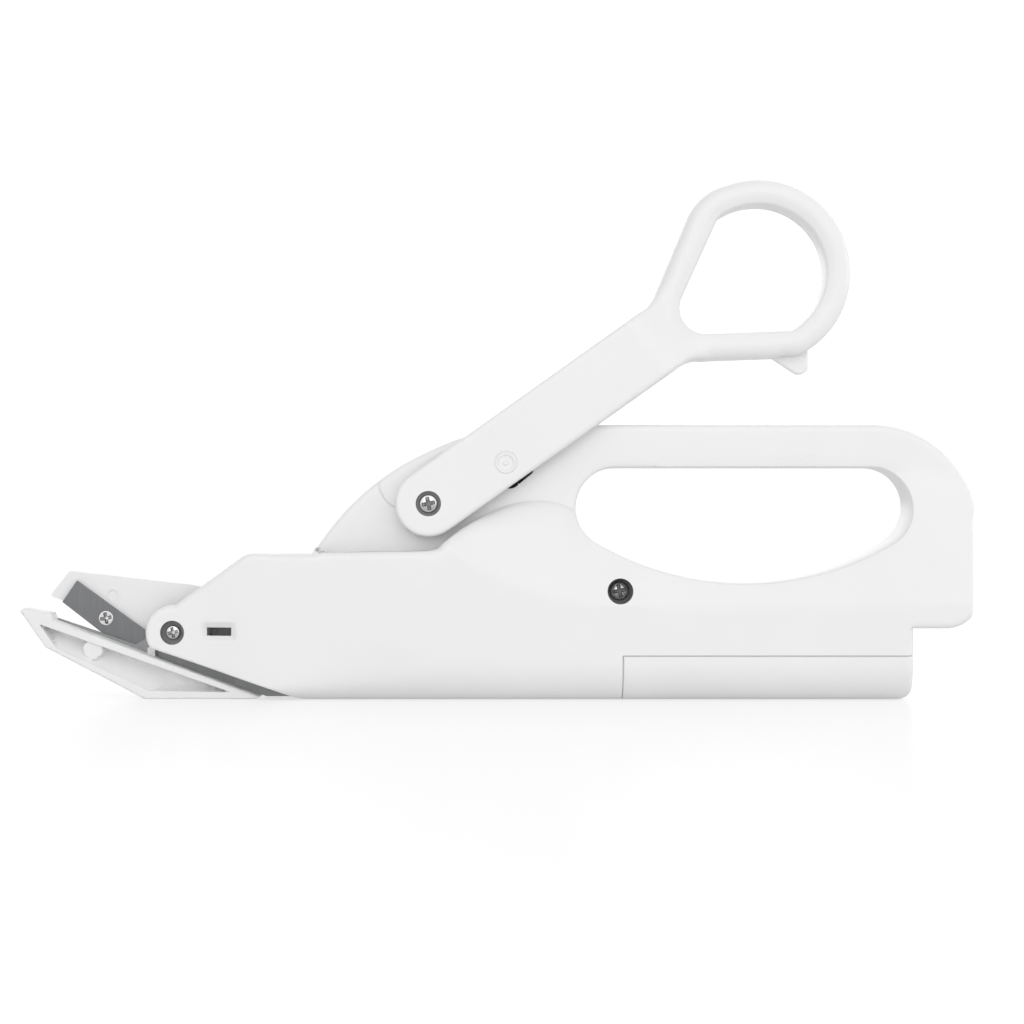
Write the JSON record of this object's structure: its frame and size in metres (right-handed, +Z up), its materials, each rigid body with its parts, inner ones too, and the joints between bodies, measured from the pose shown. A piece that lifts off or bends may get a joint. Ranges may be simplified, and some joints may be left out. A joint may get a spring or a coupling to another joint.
{
  "type": "cordless electric scissors",
  "caption": "Battery-powered scissors: a slim casing with a closed hand hole, a thumb-ring lever and a motor-driven upper jaw over a fixed lower blade",
  "frame": {"origin": "centre of the object's outline seen from above, at the level of the flat base it rests on", "axes": "+X runs from the cutting nose (-X) to the handle, +Y runs across from the near shell to the far shell, +Z is up"},
  "size_m": [0.2536, 0.034, 0.138],
  "materials": {
    "casing_white": "satin white moulded ABS with a faint texture",
    "jaw_white": "white moulded nylon, slightly duller than the casing",
    "blade_steel": "ground tool steel, dark grey",
    "screw_steel": "bright nickel-plated steel",
    "pin_steel": "turned steel",
    "spring_steel": "drawn spring wire",
    "motor_steel": "zinc-plated sheet",
    "black_plastic": "black moulded plastic",
    "contact_metal": "nickel-plated contact strip",
    "brass_gear": "turned brass",
    "gear_plastic": "natural acetal",
    "battery_jacket": "plain dark printed sleeve without marks",
    "wire_red": "red insulation",
    "wire_black": "black insulation"
  },
  "bodies": {
    "housing": {"near_shell": "casing_white", "far_shell": "casing_white", "lower_jaw": "jaw_white", "lower_blade": "blade_steel", "body_screw": "screw_steel", "jaw_pivot_screw": "screw_steel", "lower_blade_screws": "screw_steel", "lower_jaw_screw": "screw_steel", "jaw_pivot_washer": "screw_steel", "jaw_pivot_bush": "pin_steel", "idler_shaft": "pin_steel", "gearbox_screws": "screw_steel", "motor_screws": "screw_steel", "gearbox_spacers": "pin_steel", "motor_can": "motor_steel", "motor_end_cap": "black_plastic", "motor_terminals": "contact_metal", "crank_bushes": "brass_gear", "gearbox_front_plate": "motor_steel", "gearbox_middle_plate": "motor_steel", "gearbox_rear_plate": "motor_steel", "battery_tray": "black_plastic", "battery_cell_near": "battery_jacket", "battery_cell_far": "battery_jacket", "positive_contact": "contact_metal", "negative_contact": "contact_metal", "bridge_contact": "contact_metal", "switch_body": "black_plastic", "plunger_spring": "spring_steel", "switch_terminals": "contact_metal", "wire_battery_to_switch": "wire_red", "wire_switch_to_motor": "wire_red", "wire_battery_to_motor": "wire_black"},
    "lever": {"ring_lever": "casing_white", "drive_pin": "pin_steel", "lever_bush": "pin_steel", "lever_screw": "screw_steel", "lever_nut": "screw_steel"},
    "cutting_jaw": {"upper_jaw": "jaw_white", "upper_blade": "blade_steel", "upper_blade_screw": "screw_steel"},
    "crank": {"crank_gear": "gear_plastic", "crank_shaft": "pin_steel", "crank_disc": "gear_plastic", "crank_pin": "pin_steel"},
    "idler": {"idler_gear": "gear_plastic"},
    "rotor": {"motor_shaft": "pin_steel", "motor_pinion": "brass_gear"},
    "door": {"battery_door": "casing_white"},
    "plunger": {"switch_plunger": "black_plastic"}
  },
  "joints": [
    {"name": "lever_pivot", "type": "hinge", "parent": "housing", "child": "lever", "pos_m": [-0.0183, 0, 0.0518], "axis": [0, 1, 0], "range_deg": [0, 10], "stiffness_Nm_per_rad": 0.2, "springref_deg": -20.05, "deforming": ["plunger_spring"]},
    {"name": "plunger_slide", "type": "slide", "parent": "housing", "child": "plunger", "axis": [0, 0, -1], "range_m": [0, 0.00375]},
    {"name": "crank_spin", "type": "hinge", "parent": "housing", "child": "crank", "pos_m": [-0.053, 0, 0.0165], "axis": [1, 0, 0], "range_deg": [0, 120]},
    {"name": "jaw_pivot", "type": "hinge", "parent": "housing", "child": "cutting_jaw", "pos_m": [-0.0861, 0.004, 0.0177], "axis": [0, -1, 0], "range_deg": [0, 12.4]},
    {"name": "idler_spin", "type": "hinge", "parent": "housing", "child": "idler", "pos_m": [-0.046, 0.0045, 0.02708], "axis": [1, 0, 0], "range_deg": [-433, 0]},
    {"name": "motor_spin", "type": "hinge", "parent": "housing", "child": "rotor", "pos_m": [-0.03, 0, 0.01843], "axis": [1, 0, 0], "range_deg": [0, 1441]},
    {"name": "battery_door_slide", "type": "slide", "parent": "housing", "child": "door", "axis": [1, 0, 0], "range_m": [0, 0.08]}
  ],
  "couplings": [
    {"joint": "plunger_slide", "follows": "lever_pivot", "m_per_rad": 0.021228},
    {"joint": "jaw_pivot", "follows": "crank_spin", "ratio": 0.1033},
    {"joint": "idler_spin", "follows": "crank_spin", "ratio": -3.6},
    {"joint": "motor_spin", "follows": "crank_spin", "ratio": 12}
  ]
}
